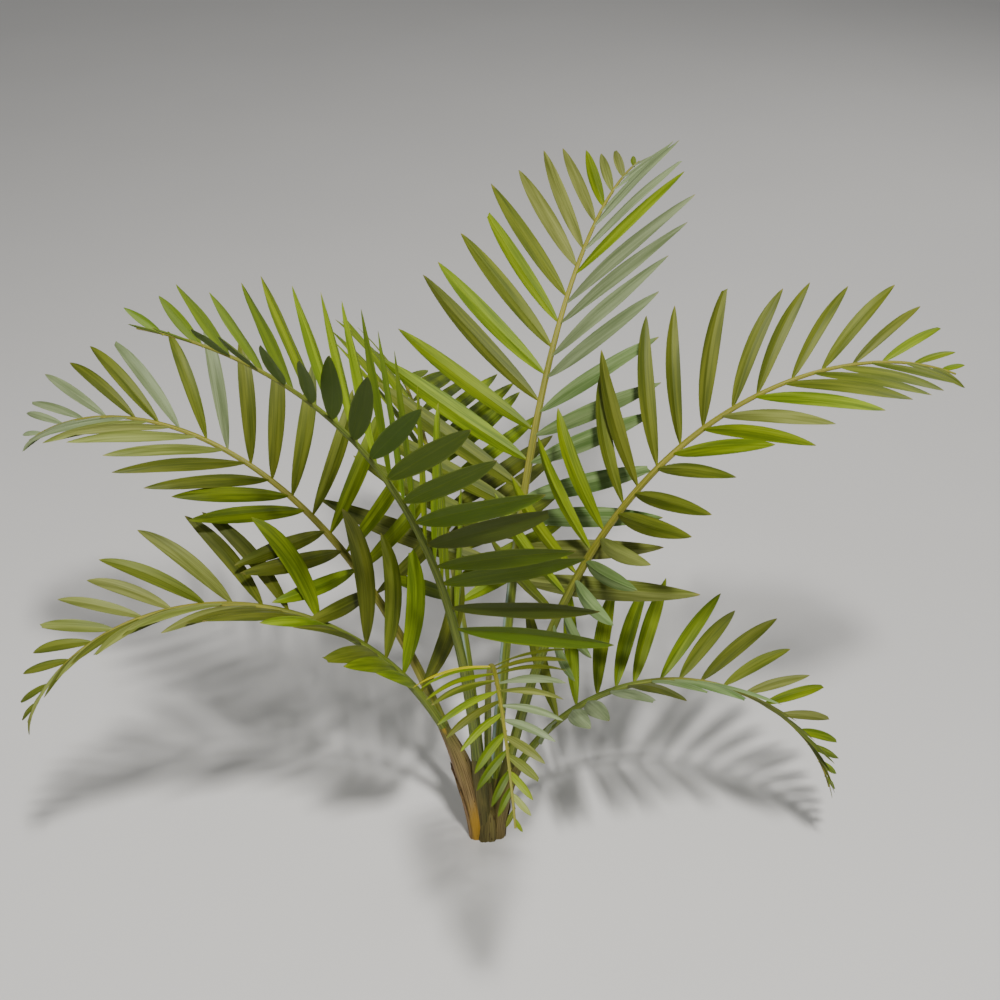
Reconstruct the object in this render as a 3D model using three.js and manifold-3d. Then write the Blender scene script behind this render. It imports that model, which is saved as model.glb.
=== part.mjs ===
// Young alexandra palm: one short foot, the leaf sheaths that rise from it, and eight feather
// fronds that arch out on bare stalks. Millimetres, +Z up. The viewer stands at -Y with +X to
// the right, and an azimuth turns from +X towards +Y. The foot is cut flat at the ground, z = 0.

import * as THREE from 'three';
import { mergeVertices } from 'three/addons/utils/BufferGeometryUtils.js';
import Module from 'manifold-3d';

const wasm = await Module();
wasm.setup();

// The foot: a squat knob that flares at the ground and closes between the sheaths. Its outline
// is radius and height from the ground up.
const FOOT_OUTLINE = [[27, 0], [26, 28], [20, 62], [0, 78]];
const FOOT_SIDES = 20;
const FOOT_RINGS = 8;

// Stalk and rib: round, tapering from the frond's own stalk radius to its tip.
const RIB_TIP_RADIUS = 1.8;
const RIB_SIDES = 5;
const RIB_RINGS = 26;
const RIB_STEPS = 120;
const RIB_TIP_RUN = 0.985;

// A sheath is the swollen base of a stalk. It tapers to just over the stalk's own size and may
// swell between. It ends where its stalk stands clear of every other stalk, or further up.
const SHEATH_RADIUS = 15;
const SHEATH_SIDES = 10;
const SHEATH_RINGS = 6;
const SHEATH_COLLAR = 1.5;
const SHEATH_SINK = 20;
const SHEATH_LONGEST = 420;
const SHEATH_STEP = 10;
const STALK_ROOM = 4;

// What rests on another piece stands this far clear of it.
const CLEARANCE = 0.3;

// Fronds that turn by more than this many degrees from stalk to tip are made in two lengths.
const SPLIT_TURN = 90;
const CUT_SHARE = 0.25;

// Leaflets: they stand away from the rib by the frond's own angle near the stalk, and close to
// CLOSED degrees towards the tip. A leaflet of REFERENCE length is the frond's widest, a shorter
// one is less wide, and those near the tip of the frond are narrower still.
const LEAFLET_CLOSED = 28;
const LEAFLET_REFERENCE = 330;
const LEAFLET_NARROWING = 0.25;
const LEAFLET_THICKNESS = 0.014;
const LEAFLET_SIDES = 4;
const LEAFLET_OUTLINE = [[0, 0], [0.85, 0.2], [0.86, 0.6], [0, 1]];
const LEAFLET_SINK = 4;

// Leaflet lengths along the blade are greatest at PEAK and short at the tip.
const LENGTH_AT_TIP = 0.15;
const LENGTH_PEAK = 0.3;

// Where a pair's left and right leaflets stand in their share of the blade.
const LEFT_OFFSET = 0.75;
const RIGHT_OFFSET = 0.5;

// How far single leaflets stray from the rule. Their place strays by a share of their spacing.
const STRAY_PLACE = 0.15;
const STRAY_LENGTH = 0.07;
const STRAY_ANGLE = 4;
const STRAY_DROOP = 4;
const SEED = 20261;

// A leaflet that would meet another frond is turned by these degrees in turn, or left out.
const ROOM_TURNS = [0, 4, -4, 8, -8, 12, -12];
const ROOM_MARGIN = 1.5;

// Each frond: where its stalk leaves the foot, its heading, how far the heading swings, how
// steeply it rises, how much it bends evenly and then curls over, its length and the bare share
// of it. The radius of its stalk at the ground, the most that its sheath swells, and how far the
// sheath runs at least. Its leaflet pairs, the longest and the widest leaflet, the length of the
// first ones as a share of the longest, and the power by which they shorten towards the tip. The
// angle at which they open, how far they are raised from the blade, the roll of the blade about
// its rib, and how far a leaflet droops along its own length.
const FRONDS = [
  {
    name: 'frond_left_high', foot: [-10, 7], azimuth: 139, swing: 37, rise: 71, bend: 21, curl: 89,
    length: 1350, bare: 0.4, stalk: 12, swell: 2, clasp: 120,
    pairs: 17, leaflet: 330, widest: 30, first: 0.86, fade: 1.9,
    open: 79, raise: 46, roll: -26, droop: 37,
  },
  {
    name: 'frond_left_tall', foot: [-8, -6], azimuth: 222, swing: -25, rise: 88, bend: 13, curl: 54,
    length: 1430, bare: 0.38, stalk: 12.5, swell: 2, clasp: 230,
    pairs: 17, leaflet: 334, widest: 42, first: 1.08, fade: 1.3,
    open: 79, raise: 36, roll: 0, droop: 6,
  },
  {
    name: 'frond_back_tall', foot: [10, 8], azimuth: 80, swing: -17, rise: 73, bend: 7, curl: 72,
    length: 1480, bare: 0.35, stalk: 13, swell: 2, clasp: 120,
    pairs: 18, leaflet: 345, widest: 35, first: 1.36, fade: 2.4,
    open: 79, raise: 26, roll: -16, droop: 14,
  },
  {
    name: 'frond_right_high', foot: [15, 10], azimuth: 18, swing: -17, rise: 82, bend: 17, curl: 88,
    length: 1440, bare: 0.35, stalk: 12, swell: 2, clasp: 120,
    pairs: 18, leaflet: 292, widest: 31, first: 0.8, fade: 2.7,
    open: 79, raise: 37, roll: 20, droop: 30,
  },
  {
    name: 'frond_right_low', foot: [22, -3], azimuth: 31, swing: -62, rise: 89, bend: 137, curl: 24,
    length: 950, bare: 0.3, stalk: 9.5, swell: 2, clasp: 120,
    pairs: 16, leaflet: 281, widest: 34, first: 1.05, fade: 1.1,
    open: 79, raise: 34, roll: -10, droop: 20,
  },
  {
    name: 'frond_front', foot: [3, -8], azimuth: 270, swing: 7, rise: 102, bend: 70, curl: 77,
    length: 1040, bare: 0.62, stalk: 8.5, swell: 1, clasp: 120,
    pairs: 12, leaflet: 145, widest: 32, first: 1.15, fade: 1.3,
    open: 79, raise: 23, roll: 10, droop: 38,
  },
  {
    name: 'frond_left_low', foot: [-20, -5], azimuth: 162, swing: 48, rise: 89, bend: 90, curl: 64,
    length: 1235, bare: 0.3, stalk: 11.5, swell: 8, clasp: 300,
    pairs: 17, leaflet: 328, widest: 33, first: 1.14, fade: 1,
    open: 60, raise: 55, roll: -18, droop: 37,
  },
  {
    name: 'frond_back_left', foot: [-4, 13], azimuth: 106, swing: -1, rise: 82, bend: 60, curl: 54,
    length: 1150, bare: 0.4, stalk: 10.5, swell: 2, clasp: 120,
    pairs: 15, leaflet: 345, widest: 33, first: 0.75, fade: 2,
    open: 79, raise: 27, roll: 34, droop: 20,
  },
];

// Finishes
const SHEATH_FINISH = { color: 0x9a7a3c, roughness: 0.7, metalness: 0 };
const FROND_FINISH = { color: 0x8fa63a, roughness: 0.5, metalness: 0 };

// The block under the ground that trims the foot flat
const TRIM_WIDTH = 400;
const TRIM_DEPTH = 60;

// Repeatable draws, and the distance within which corners are one
const DRAW_FACTOR = 16807;
const DRAW_MODULUS = 2147483647;
const MERGE_DISTANCE = 0.001;

const radians = THREE.MathUtils.degToRad;
const mix = THREE.MathUtils.lerp;

// The next draw, between -1 and 1
let seed = SEED;
function draw() {
  seed = (seed * DRAW_FACTOR) % DRAW_MODULUS;
  return (2 * seed) / DRAW_MODULUS - 1;
}

// The heading of a frond's rib at share s of its length
function heading(frond, s) {
  const climb = radians(frond.rise - frond.bend * s - frond.curl * s ** 3);
  const turn = radians(frond.azimuth + frond.swing * s);
  return new THREE.Vector3(
    Math.cos(climb) * Math.cos(turn),
    Math.cos(climb) * Math.sin(turn),
    Math.sin(climb),
  );
}

// A frond's rib as a function of the share s: the point, and the directions along the rib,
// to its left, and up out of the blade
function ribOf(frond) {
  const step = frond.length / RIB_STEPS;
  const points = [new THREE.Vector3(frond.foot[0], frond.foot[1], 0)];
  for (let i = 0; i < RIB_STEPS; i += 1) {
    points.push(points[i].clone().addScaledVector(heading(frond, (i + 0.5) / RIB_STEPS), step));
  }
  return (s) => {
    const i = Math.min(Math.max(Math.floor(s * RIB_STEPS), 0), RIB_STEPS - 1);
    const along = heading(frond, s);
    const turn = radians(frond.azimuth + frond.swing * s);
    const left = new THREE.Vector3(-Math.sin(turn), Math.cos(turn), 0);
    const up = along.clone().cross(left);
    const ahead = points[i + 1].clone().sub(points[i]);
    const point = points[i].clone().addScaledVector(ahead, s * RIB_STEPS - i);
    return { point, along, left, up };
  };
}

const stalkRadius = (frond, s) => mix(frond.stalk, RIB_TIP_RADIUS, s);

// A frond that turns far over is made in two lengths, cut where half of its turn is done and
// midway between two leaflets
function cutOf(frond) {
  const turned = (s) => frond.bend * s + frond.curl * s ** 3;
  if (turned(1) < SPLIT_TURN) {
    return undefined;
  }
  const spacing = (1 - frond.bare) * RIB_TIP_RUN / frond.pairs;
  let cut = frond.bare + spacing * CUT_SHARE;
  while (turned(cut) < turned(1) / 2) {
    cut += spacing;
  }
  return cut;
}

// A solid from a closed geometry, with shared corners merged and empty triangles dropped
function solidOf(geometry) {
  geometry.deleteAttribute('normal');
  geometry.deleteAttribute('uv');
  const merged = mergeVertices(geometry, MERGE_DISTANCE);
  const triangles = [];
  for (let i = 0; i < merged.index.count; i += 3) {
    const [a, b, c] = [0, 1, 2].map((k) => merged.index.getX(i + k));
    if (a !== b && b !== c && c !== a) {
      triangles.push(a, b, c);
    }
  }
  return new wasm.Manifold(new wasm.Mesh({
    numProp: 3,
    vertProperties: new Float32Array(merged.attributes.position.array),
    triVerts: new Uint32Array(triangles),
  }));
}

// A straight turned form, with its length along Y from 0 to 1, bent so that each cross-section
// sits at a station of a curve: x runs across it and z out of it
function bent(geometry, stationAt) {
  const position = geometry.attributes.position;
  for (let i = 0; i < position.count; i += 1) {
    const { point, across, out, width, thickness } = stationAt(position.getY(i));
    const place = point.clone()
      .addScaledVector(across, position.getX(i) * width)
      .addScaledVector(out, position.getZ(i) * thickness);
    position.setXYZ(i, place.x, place.y, place.z);
  }
  return solidOf(geometry);
}

// A round limb along a rib between two shares of its length, with flat ends
function limb(rib, from, to, radiusAt, sides, rings) {
  const profile = [new THREE.Vector2(0, 0)];
  for (let i = 0; i <= rings; i += 1) {
    profile.push(new THREE.Vector2(1, i / rings));
  }
  profile.push(new THREE.Vector2(0, 1));
  return bent(new THREE.LatheGeometry(profile, sides), (share) => {
    const s = mix(from, to, share);
    const { point, left, up } = rib(s);
    return { point, across: up, out: left, width: radiusAt(s), thickness: radiusAt(s) };
  });
}

// How long a leaflet is at share u of the blade, against the longest
function lengthShare(frond, u) {
  if (u < LENGTH_PEAK) {
    return mix(frond.first, 1, Math.sin((u / LENGTH_PEAK) * (Math.PI / 2)));
  }
  return mix(1, LENGTH_AT_TIP, ((u - LENGTH_PEAK) / (1 - LENGTH_PEAK)) ** frond.fade);
}

// The growth of every leaflet of a frond: its side, place, size and angles
function leafletsOf(frond) {
  const leaflets = [];
  for (const side of [1, -1]) {
    for (let j = 0; j < frond.pairs; j += 1) {
      const offset = side > 0 ? LEFT_OFFSET : RIGHT_OFFSET;
      const u = (j + offset + STRAY_PLACE * draw()) / frond.pairs;
      const length = frond.leaflet * lengthShare(frond, u) * (1 + STRAY_LENGTH * draw());
      const slimness = Math.sqrt(length / LEAFLET_REFERENCE);
      leaflets.push({
        side,
        s: mix(frond.bare, 1, u * RIB_TIP_RUN),
        length,
        width: frond.widest * slimness * (1 - LEAFLET_NARROWING * u ** 2),
        open: mix(frond.open, LEAFLET_CLOSED, u) + STRAY_ANGLE * draw(),
        raise: frond.raise + STRAY_ANGLE * draw(),
        droop: frond.droop + STRAY_DROOP * draw(),
      });
    }
  }
  return leaflets;
}

// One leaflet: a lance-shaped spindle pressed to a blade and bent down along its length. Its
// face is set by its middle, so it bends without a twist. Its root is a point sunk to the far
// side of the rib.
function leafletSolid(frond, rib, leaflet, turn, margin) {
  const { point: root, along, left, up } = rib(leaflet.s);
  const roll = radians(frond.roll);
  const side = left.clone().multiplyScalar(Math.cos(roll)).addScaledVector(up, Math.sin(roll));
  const out = up.clone().multiplyScalar(Math.cos(roll)).addScaledVector(left, -Math.sin(roll));
  side.multiplyScalar(leaflet.side);
  const open = radians(leaflet.open);
  const raise = radians(leaflet.raise + turn);
  const droop = radians(leaflet.droop);
  const start = along.clone().multiplyScalar(Math.cos(open))
    .addScaledVector(side, Math.cos(raise) * Math.sin(open))
    .addScaledVector(out, Math.sin(raise) * Math.sin(open));
  const directionAt = (bend) => start.clone().multiplyScalar(Math.cos(bend))
    .addScaledVector(out, -Math.sin(bend)).normalize();
  const face = along.clone().cross(directionAt(droop / 2)).normalize();
  const profile = LEAFLET_OUTLINE.map(([width, share]) => new THREE.Vector2(width, share));
  return bent(new THREE.LatheGeometry(profile, LEAFLET_SIDES), (share) => {
    const bend = droop * share;
    const point = root.clone()
      .addScaledVector(start, (leaflet.length * Math.sin(bend)) / droop - LEAFLET_SINK)
      .addScaledVector(out, (-leaflet.length * (1 - Math.cos(bend))) / droop);
    const direction = directionAt(bend);
    const across = direction.clone().cross(face).normalize();
    return {
      point,
      across,
      out: across.clone().cross(direction),
      width: leaflet.width / 2 + margin,
      thickness: (leaflet.length * LEAFLET_THICKNESS) / 2 + margin,
    };
  });
}

const meets = (solid, other) => !solid.intersect(other).isEmpty();

// Keeps the largest single body of a solid
function largestBody(solid) {
  const bodies = solid.decompose();
  return bodies.reduce((most, body) => (body.volume() > most.volume() ? body : most));
}

// How long each sheath is: to just past the last place where its stalk is close to another
function sheathLengths(ribs) {
  const heights = [];
  for (let run = 0; run <= SHEATH_LONGEST; run += SHEATH_STEP) {
    heights.push(run);
  }
  const places = FRONDS.map((frond, i) => heights.map((run) => ribs[i](run / frond.length).point));
  return FRONDS.map((frond, i) => {
    const room = (other) => frond.stalk + other.stalk + STALK_ROOM;
    const close = heights.filter((run, h) => FRONDS.some((other, k) => (
      k !== i && places[k].some((place) => place.distanceTo(places[i][h]) < room(other))
    )));
    return Math.max(frond.clasp, Math.max(...close) + SHEATH_STEP);
  });
}

// The foot with every sheath fused to it, cut flat at the ground
function stemSolid(ribs, sheaths) {
  const outline = new THREE.SplineCurve(FOOT_OUTLINE.map(([radius, height]) => (
    new THREE.Vector2(radius, height)
  )));
  const profile = [new THREE.Vector2(0, 0), ...outline.getPoints(FOOT_RINGS)];
  let stem = solidOf(new THREE.LatheGeometry(profile, FOOT_SIDES).rotateX(Math.PI / 2));
  FRONDS.forEach((frond, i) => {
    const top = sheaths[i] / frond.length;
    const collar = stalkRadius(frond, top) + SHEATH_COLLAR;
    const swell = (share) => frond.swell * Math.sin(Math.PI * Math.max(share, 0));
    const radiusAt = (s) => mix(SHEATH_RADIUS, collar, s / top) + swell(s / top);
    const sunk = -SHEATH_SINK / frond.length;
    stem = stem.add(limb(ribs[i], sunk, top, radiusAt, SHEATH_SIDES, SHEATH_RINGS));
  });
  const below = new THREE.BoxGeometry(TRIM_WIDTH, TRIM_WIDTH, TRIM_DEPTH);
  return stem.subtract(solidOf(below.translate(0, 0, -TRIM_DEPTH / 2)));
}

// A frond in its one or two lengths, before its leaflets
function lengthsOf(frond, rib, sheath) {
  const start = (sheath + CLEARANCE) / frond.length;
  const cut = cutOf(frond);
  const spans = cut === undefined
    ? [['', start, 1]]
    : [['_inner', start, cut], ['_outer', cut + CLEARANCE / frond.length, 1]];
  return spans.map(([ending, from, to]) => ({
    name: frond.name + ending,
    frond,
    rib,
    to,
    solid: limb(rib, from, to, (s) => stalkRadius(frond, s), RIB_SIDES,
      Math.ceil(RIB_RINGS * (to - from))),
  }));
}

// Fuses each leaflet of a frond to the length that its root is on, where it finds room
function addLeaflets(frond, stem, lengths) {
  for (const leaflet of leafletsOf(frond)) {
    const own = lengths.find((length) => length.frond === frond && leaflet.s < length.to);
    const others = lengths.filter((length) => length !== own).map((length) => length.solid);
    const turn = ROOM_TURNS.find((degrees) => {
      const room = leafletSolid(frond, own.rib, leaflet, degrees, ROOM_MARGIN);
      return ![stem, ...others].some((other) => meets(room, other));
    });
    if (turn !== undefined) {
      own.solid = own.solid.add(leafletSolid(frond, own.rib, leaflet, turn, 0));
    }
  }
}

// A named mesh of one finish from a solid
function meshOf(name, solid, finish) {
  const { vertProperties, triVerts } = solid.getMesh();
  const geometry = new THREE.BufferGeometry();
  geometry.setAttribute('position', new THREE.BufferAttribute(vertProperties, 3));
  geometry.setIndex(new THREE.BufferAttribute(triVerts, 1));
  geometry.computeVertexNormals();
  const mesh = new THREE.Mesh(geometry, new THREE.MeshStandardMaterial(finish));
  mesh.name = name;
  return mesh;
}

// The whole palm
function palm() {
  const ribs = FRONDS.map(ribOf);
  const sheaths = sheathLengths(ribs);
  const stem = stemSolid(ribs, sheaths);
  const lengths = FRONDS.flatMap((frond, i) => lengthsOf(frond, ribs[i], sheaths[i]));
  FRONDS.forEach((frond) => addLeaflets(frond, stem, lengths));
  const group = new THREE.Group();
  group.add(meshOf('stem', stem, SHEATH_FINISH));
  lengths.forEach(({ name, solid }) => group.add(meshOf(name, largestBody(solid), FROND_FINISH)));
  return group;
}

export default palm();
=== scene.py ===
# %% [markdown]
# # A young alexandra palm
# A rooted palm, about 1.3 m tall: a short foot, the clasping leaf bases that rise from it, and
# eight feather fronds that arch out on bare stalks. Every length here is in metres, the ground
# is z = 0, the viewer stands at -Y and +X is to the right.
#
# The frame holds plain solids for the stem and the fronds, each frond in one length or two. Each
# solid is replaced by finer growth that follows the same rule, so the picture and the solids
# agree.

import math
import random
from collections import defaultdict, namedtuple
from functools import lru_cache

import bpy
import numpy as np
from mathutils.bvhtree import BVHTree
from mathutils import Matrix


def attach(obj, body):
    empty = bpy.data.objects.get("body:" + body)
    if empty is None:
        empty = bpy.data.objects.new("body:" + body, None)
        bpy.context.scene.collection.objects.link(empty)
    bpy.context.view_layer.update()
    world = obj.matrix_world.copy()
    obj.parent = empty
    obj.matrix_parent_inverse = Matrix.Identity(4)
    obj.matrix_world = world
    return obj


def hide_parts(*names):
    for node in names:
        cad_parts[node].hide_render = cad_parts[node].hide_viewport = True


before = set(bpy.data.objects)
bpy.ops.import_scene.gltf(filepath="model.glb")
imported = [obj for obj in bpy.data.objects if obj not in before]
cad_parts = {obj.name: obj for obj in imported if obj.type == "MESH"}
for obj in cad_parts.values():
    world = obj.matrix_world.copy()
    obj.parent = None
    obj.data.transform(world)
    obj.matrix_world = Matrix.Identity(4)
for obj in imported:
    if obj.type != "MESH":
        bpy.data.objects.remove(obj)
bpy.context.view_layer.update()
print("solids in the frame:", len(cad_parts))

# %% [markdown]
# ## The view
# The camera looks down on the palm from a little above head height. It could be told to track
# the palm, but it faces straight back, so one angle says it all. A 50 mm lens keeps the near
# fronds from swelling.

# %% Camera
CAMERA_PLACE = (0.026, -1.857, 2.170)
CAMERA_DOWN = 36
CAMERA_LENS = 50

camera = bpy.data.objects.new("camera", bpy.data.cameras.new("camera"))
camera.data.lens = CAMERA_LENS
camera.location = CAMERA_PLACE
camera.rotation_euler = (math.radians(90 - CAMERA_DOWN), 0, 0)
bpy.context.collection.objects.link(camera)
bpy.context.scene.camera = camera
print("camera height:", camera.location.z)

# %% [markdown]
# ## The light
# One soft key hangs high in front of the palm, where it makes the shadows fall back and to the
# left of the foot. A bright sky alone would be simpler, but it would flatten the leaves. Two
# wide fills and a faint sky are enough to keep their undersides readable.

# %% Studio lights
CROWN = np.array((0, 0, 0.6))
LIGHTS = [
    # name, place, side of the soft box and power in watts
    ("key", (0.374, -1.747, 4.67), 0.4, 285),
    ("fill left", (-3.5, -2.0, 2.6), 2.5, 42),
    ("fill back", (2.5, 3.5, 3.0), 2.5, 42),
]
SKY_COLOUR = (0.93, 0.96, 1, 1)
SKY_STRENGTH = 0.21


def studio_light(name, place, size, power):
    """A square soft box that faces the crown."""
    data = bpy.data.lights.new(name, "AREA")
    data.size = size
    data.energy = power
    light = bpy.data.objects.new(name, data)
    light.location = place
    aim = CROWN - np.array(place)
    light.rotation_euler = (math.atan2(math.hypot(aim[0], aim[1]), -aim[2]), 0,
                            math.atan2(aim[1], aim[0]) - math.pi / 2)
    bpy.context.collection.objects.link(light)


def pale_sky():
    """An even, slightly cool light from all around."""
    sky = bpy.data.worlds.new("sky")
    sky.use_nodes = True
    background = sky.node_tree.nodes["Background"]
    background.inputs["Color"].default_value = SKY_COLOUR
    background.inputs["Strength"].default_value = SKY_STRENGTH
    return sky


for light in LIGHTS:
    studio_light(*light)
bpy.context.scene.world = pale_sky()
print("lights:", [name for name, *rest in LIGHTS])

# %% [markdown]
# ## The growth rule
# A frond is a rib that leaves the foot at its own place and heading, swings to one side, rises,
# bends evenly and curls over towards its tip. Its first part is a bare stalk. The rest is its
# blade, with pairs of leaflets that shorten over about its outer two thirds. Each frond could be
# drawn by hand as a curve, but a rule with a few numbers is shorter and keeps the fronds alike.
# The rule and its draws are those of the solids, so each leaflet grows where its plain one
# stands. Angles are in degrees.
#
# A frond's row also gives the radius of its stalk at the ground, how much its sheath swells and
# how far it runs at least. Of its leaflets it gives their length at 30% of the blade, how wide a
# long one is near its start, how long the first is as a share of that length, how late they
# shorten, and how they open, lift, roll and droop. Last come the leaf colours on the left and
# right of the rib, in order from the stalk to the tip.

# %% The fronds
Frond = namedtuple("Frond", (
    "name foot azimuth swing rise bend curl length bare stalk swell clasp "
    "pairs leaflet widest first fade open lift roll droop left_leaf right_leaf"))

# Among the leaf colours, the pale grey-green one is painted sheen, the silvery one is partly painted
# sheen and the darkest green one is painted shade.
FRONDS = [
    Frond(
        name="frond_left_high", foot=(-0.01, 0.007), azimuth=139, swing=37,
        rise=71, bend=21, curl=89, length=1.35, bare=0.4,
        stalk=0.012, swell=0.002, clasp=0.12,
        pairs=17, leaflet=0.33, widest=0.03, first=0.86, fade=1.9,
        open=79, lift=46, roll=-26, droop=37,
        left_leaf=("olive", "lime", "olive", "cream", "silver", "silver"),
        right_leaf=("olive", "lime", "olive", "olive", "olive", "silver", "olive", "silver", "silver")),
    Frond(
        name="frond_left_tall", foot=(-0.008, -0.006), azimuth=222, swing=-25,
        rise=88, bend=13, curl=54, length=1.43, bare=0.38,
        stalk=0.0125, swell=0.002, clasp=0.23,
        pairs=17, leaflet=0.334, widest=0.042, first=1.08, fade=1.3,
        open=79, lift=36, roll=0, droop=6,
        left_leaf=("lime", "olive", "lime", "deep", "deep", "deep"),
        right_leaf=("lime", "lime", "deep", "lime", "deep", "deep")),
    Frond(
        name="frond_back_tall", foot=(0.01, 0.008), azimuth=80, swing=-17,
        rise=73, bend=7, curl=72, length=1.48, bare=0.35,
        stalk=0.013, swell=0.002, clasp=0.12,
        pairs=18, leaflet=0.345, widest=0.035, first=1.36, fade=2.4,
        open=79, lift=26, roll=-16, droop=14,
        left_leaf=("olive", "olive", "lime", "olive", "cream", "lime"),
        right_leaf=("cream", "mint", "mint", "mint", "silver", "lime", "silver", "silver", "silver")),
    Frond(
        name="frond_right_high", foot=(0.015, 0.01), azimuth=18, swing=-17,
        rise=82, bend=17, curl=88, length=1.44, bare=0.35,
        stalk=0.012, swell=0.002, clasp=0.12,
        pairs=18, leaflet=0.292, widest=0.031, first=0.8, fade=2.7,
        open=79, lift=37, roll=20, droop=30,
        left_leaf=("olive", "lime", "olive", "olive", "olive", "lime"),
        right_leaf=("mint", "olive", "cream", "lime", "olive", "olive")),
    Frond(
        name="frond_right_low", foot=(0.022, -0.003), azimuth=31, swing=-62,
        rise=89, bend=137, curl=24, length=0.95, bare=0.3,
        stalk=0.0095, swell=0.002, clasp=0.12,
        pairs=16, leaflet=0.281, widest=0.034, first=1.05, fade=1.1,
        open=79, lift=34, roll=-10, droop=20,
        left_leaf=("olive", "lime", "olive", "cream", "lime", "lime"),
        right_leaf=("silver", "olive", "mint", "olive", "olive", "olive")),
    Frond(
        name="frond_front", foot=(0.003, -0.008), azimuth=270, swing=7,
        rise=102, bend=70, curl=77, length=1.04, bare=0.62,
        stalk=0.0085, swell=0.001, clasp=0.12,
        pairs=12, leaflet=0.145, widest=0.032, first=1.15, fade=1.3,
        open=79, lift=23, roll=10, droop=38,
        left_leaf=("olive", "cream", "silver", "cream", "cream", "lime"),
        right_leaf=("gold", "lime", "olive", "lime", "deep", "olive")),
    Frond(
        name="frond_left_low", foot=(-0.02, -0.005), azimuth=162, swing=48,
        rise=89, bend=90, curl=64, length=1.235, bare=0.3,
        stalk=0.0115, swell=0.008, clasp=0.3,
        pairs=17, leaflet=0.328, widest=0.033, first=1.14, fade=1,
        open=60, lift=55, roll=-18, droop=37,
        left_leaf=("lime", "olive", "olive", "cream", "olive", "cream"),
        right_leaf=("olive", "lime", "olive", "cream", "cream", "olive")),
    Frond(
        name="frond_back_left", foot=(-0.004, 0.013), azimuth=106, swing=-1,
        rise=82, bend=60, curl=54, length=1.15, bare=0.4,
        stalk=0.0105, swell=0.002, clasp=0.12,
        pairs=15, leaflet=0.345, widest=0.033, first=0.75, fade=2,
        open=79, lift=27, roll=34, droop=20,
        left_leaf=("lime", "lime", "olive", "lime", "lime", "olive"),
        right_leaf=("lime", "olive", "lime", "lime", "lime", "olive")),
]
print("fronds:", len(FRONDS))

# %% [markdown]
# A rib has no simple formula for its points, only for its heading, so its points are summed up
# in short steps along the heading at the middle of each step.

# %% Ribs
RIB_STEPS = 120
UP = np.array((0, 0, 1))


def turned(frond, s):
    """The heading of a rib at a share of its length, and its level direction to the left."""
    climb = np.radians(frond.rise - frond.bend * s - frond.curl * s**3)
    turn = np.radians(frond.azimuth + frond.swing * s)
    level = np.stack([np.cos(turn), np.sin(turn), 0 * turn], -1)
    along = level * np.cos(climb)[..., None] + UP * np.sin(climb)[..., None]
    left = np.stack([-np.sin(turn), np.cos(turn), 0 * turn], -1)
    return along, left


class Rib:
    """A frond's rib, and how far its sheath runs up it."""

    def __init__(self, frond):
        self.frond = frond
        self.sheath = frond.clasp
        middles = (np.arange(RIB_STEPS) + 0.5) / RIB_STEPS
        steps = turned(frond, middles)[0] * (frond.length / RIB_STEPS)
        start = np.array((*frond.foot, 0.0))
        self.points = np.vstack([start, start + np.cumsum(steps, axis=0)])

    def at(self, s):
        """Points at shares of the length, and the directions along, to the left and up there."""
        s = np.asarray(s, float)
        along, left = turned(self.frond, s)
        step = np.clip(np.floor(s * RIB_STEPS).astype(int), 0, RIB_STEPS - 1)
        share = (s * RIB_STEPS - step)[..., None]
        point = self.points[step] * (1 - share) + self.points[step + 1] * share
        return point, along, left, np.cross(along, left)


ribs = [Rib(frond) for frond in FRONDS]
print("tip heights:", [round(float(rib.points[-1][2]), 2) for rib in ribs])

# %% [markdown]
# ## How long each sheath is
# Each stalk starts as a swollen sheath that clasps its neighbours. The sheath ends where its
# stalk stands clear of every other stalk. Its length could be one more number for each frond,
# but measured it stays right when a frond is made to lean another way.

# %% Sheath lengths
SHEATH_STEP = 0.01
SHEATH_LONGEST = 0.42
STALK_ROOM = 0.004


def last_crowded(rib, other):
    """How far up its stalk a rib still stands close to another one."""
    climbed = np.arange(0, SHEATH_LONGEST + SHEATH_STEP / 2, SHEATH_STEP)
    own = rib.at(climbed / rib.frond.length)[0]
    theirs = other.at(climbed / other.frond.length)[0]
    nearest = np.linalg.norm(own[:, None] - theirs[None], axis=2).min(axis=1)
    room = rib.frond.stalk + other.frond.stalk + STALK_ROOM
    return max(climbed[nearest < room], default=0)


for rib in ribs:
    crowded = max(last_crowded(rib, other) for other in ribs if other is not rib)
    rib.sheath = max(rib.frond.clasp, crowded + SHEATH_STEP)
print("sheath lengths:", [round(float(rib.sheath), 2) for rib in ribs])

# %% [markdown]
# ## A few curves
# Growth has no hard corners, so a few smooth curves shape it: a step that eases in and out, a
# hump that falls away to both sides, and ripples round a ring.


# %% Curves
def between(span, share):
    """A value in a span: its start at share 0 and its end at share 1."""
    start, end = span
    return start + (end - start) * share


def smooth_step(value, start=0, run=1):
    """Eases from 0 at the start to 1 at the end of a run."""
    share = np.clip((value - start) / run, 0, 1)
    return share * share * (3 - 2 * share)


def hump(value, middle, width):
    """1 in the middle, and falling away to both sides."""
    return np.exp(-((value - middle) / width) ** 2)


def ripples(angles, waves, offset=0):
    """Sums waves round a ring: how many, how high and how far an offset shifts each."""
    return sum(height * np.cos(count * angles + shift * offset)
               for count, height, shift in waves)


def unit(vectors):
    """The same directions, each one metre long."""
    return vectors / np.linalg.norm(vectors, axis=-1, keepdims=True)


# %% [markdown]
# ## Meshes from rings
# Leaflets, stalks and sheaths are all closed skins made of rings of corners, with a cap at each
# end. They could be curves with a bevel, but a bevel keeps one outline all the way, and rings
# may fold, flatten and ripple. A growth gathers many such skins into one mesh and keeps what the
# finishes need to know at every corner, such as how far along its leaflet it lies. The value
# called grain is a place measured along and round the piece itself, so streaks follow the growth
# as fibres do.

# %% Rings to mesh
CREASE = 50


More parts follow.
